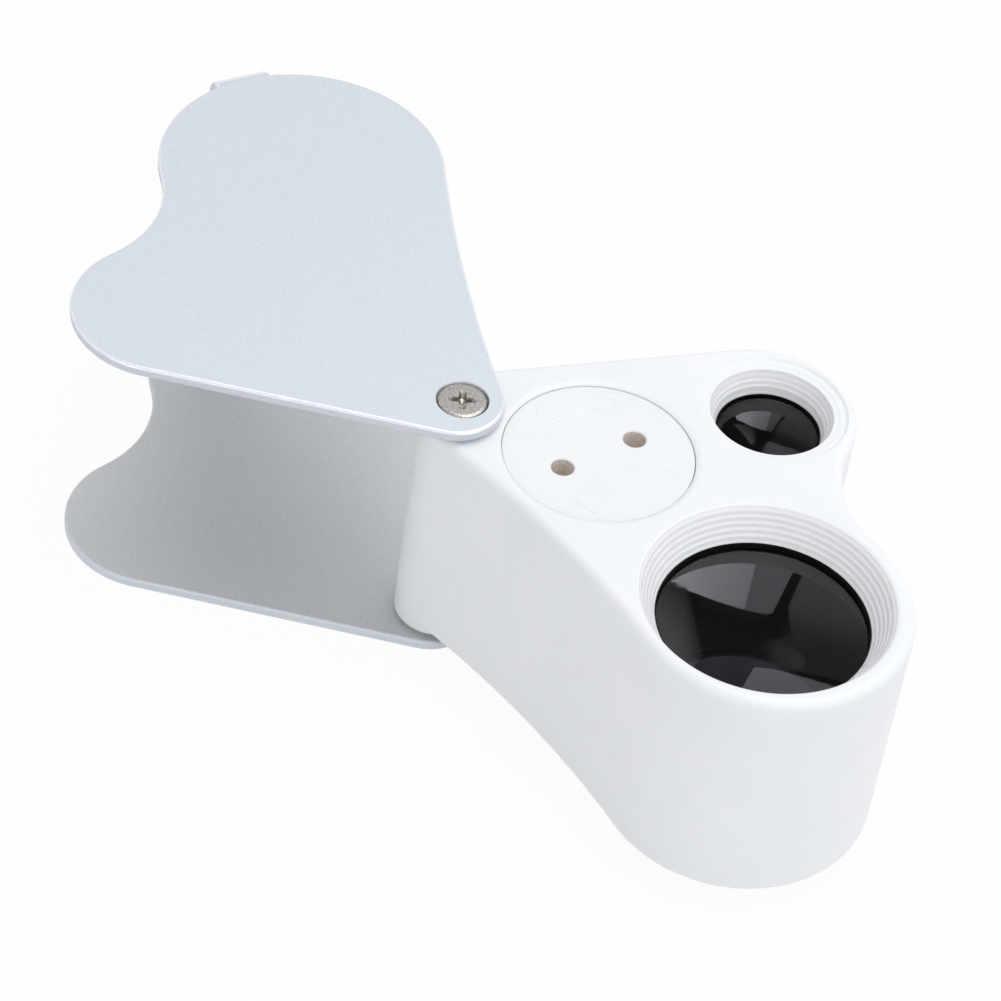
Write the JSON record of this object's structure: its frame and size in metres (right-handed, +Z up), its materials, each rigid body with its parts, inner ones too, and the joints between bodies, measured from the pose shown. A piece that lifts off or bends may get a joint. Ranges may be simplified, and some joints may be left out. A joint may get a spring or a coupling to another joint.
{
  "type": "illuminated folding loupe",
  "caption": "Folding pocket loupe: a white body with a large and a small magnifier and lamps swings out of a silver sheet-metal case.",
  "frame": {"origin": "Pivot axis at the underside of the case's lower plate, on which the loupe rests.", "axes": "+Z up along the pivot axis; +X from the pivot to the large lens with the body swung out as pictured; +Y to the side of the small lens."},
  "size_m": [0.1005, 0.0506, 0.0304],
  "materials": {
    "painted_steel": "satin silver paint on sheet steel",
    "plain_steel": "turned, bright",
    "nickel_steel": "nickel plated, semi-bright",
    "nylon": "natural, matt",
    "white_plastic": "moulded, semi-gloss",
    "contact_brass": "stamped spring brass",
    "cell_steel": "plated, bright",
    "board_laminate": "green solder mask",
    "lamp_resin": "clear cast resin over a yellow phosphor",
    "black_plastic": "moulded, matt black",
    "lens_glass": "polished, coated"
  },
  "bodies": {
    "case": {"case_sheet": "painted_steel", "pivot_post": "plain_steel", "pivot_screws": "nickel_steel", "washer_top": "nylon", "washer_bottom": "nylon"},
    "loupe_body": {"body_shell": "white_plastic", "base_cover": "white_plastic", "base_screws": "nickel_steel", "battery_cell_top": "cell_steel", "battery_cell_middle": "cell_steel", "battery_cell_bottom": "cell_steel", "battery_leaf": "contact_brass", "side_contact": "contact_brass", "circuit_board": "board_laminate", "lamp_large": "lamp_resin", "lamp_small": "lamp_resin", "switch_leaf": "contact_brass", "switch_contact": "contact_brass", "large_barrel": "black_plastic", "large_eye_lens": "lens_glass", "large_object_lens": "lens_glass", "large_eye_ring": "black_plastic", "small_barrel": "black_plastic", "small_eye_lens": "lens_glass", "small_object_lens": "lens_glass", "small_eye_ring": "black_plastic"},
    "battery_cap": {"battery_cap": "white_plastic", "cap_contact": "contact_brass"}
  },
  "joints": [
    {"name": "body_swing", "type": "hinge", "parent": "case", "child": "loupe_body", "pos_m": [0, 0, 0], "axis": [0, 0, 1], "range_deg": [-26.4, 153.6]},
    {"name": "cap_turn", "type": "hinge", "parent": "loupe_body", "child": "battery_cap", "pos_m": [0.0131, 0.00485, 0], "axis": [0, 0, 1], "range_deg": [0, 70]}
  ]
}
